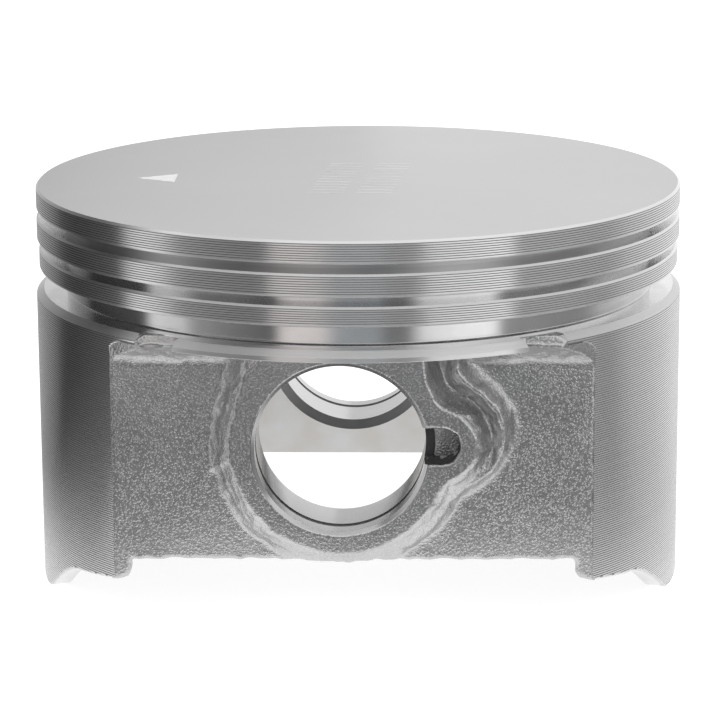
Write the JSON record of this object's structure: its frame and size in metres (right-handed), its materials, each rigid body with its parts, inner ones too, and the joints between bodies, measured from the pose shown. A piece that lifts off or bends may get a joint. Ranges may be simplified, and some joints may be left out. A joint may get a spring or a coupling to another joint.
{
  "type": "motorcycle engine piston",
  "caption": "Bare flat-top four-stroke piston with empty ring grooves, box-type skirts, cast side panels, an offset pin bore and circlip grooves.",
  "frame": {"origin": "centre of the pin bore, on the pin axis, midway between the two bosses", "axes": "+Z along the piston axis towards the crown face, +Y along the pin bore, +X and -X towards the two thrust faces; the crown arrow points to -X. The piston's own axis is parallel to Z and passes through x = +1.5 mm, because the pin is offset."},
  "size_m": [0.088, 0.088, 0.0544],
  "materials": {
    "faced_crown": "faced, satin, with fine concentric turning lines",
    "turned_land": "turned, bright, with fine turning grooves",
    "groove_floor": "finish-turned, smooth",
    "turned_skirt": "turned with a regular fine thread-like profile",
    "cast_skin": "as cast, fine rough grain",
    "honed_bore": "honed, smooth",
    "etched_mark": "laser-etched, matte white"
  },
  "bodies": {
    "root": {"crown_deck": "faced_crown", "top_land": "turned_land", "second_land": "turned_land", "third_land": "turned_land", "belt_core": "groove_floor", "belt_base": "cast_skin", "front_lower_land": "turned_land", "rear_lower_land": "turned_land", "front_belt_backing": "cast_skin", "rear_belt_backing": "cast_skin", "thrust_skirt": "turned_skirt", "anti_thrust_skirt": "turned_skirt", "front_left_panel": "cast_skin", "front_right_panel": "cast_skin", "rear_left_panel": "cast_skin", "rear_right_panel": "cast_skin", "front_boss": "cast_skin", "rear_boss": "cast_skin", "front_pick_lobe": "cast_skin", "rear_pick_lobe": "cast_skin", "front_belt_web": "cast_skin", "rear_belt_web": "cast_skin"}
  },
  "joints": []
}
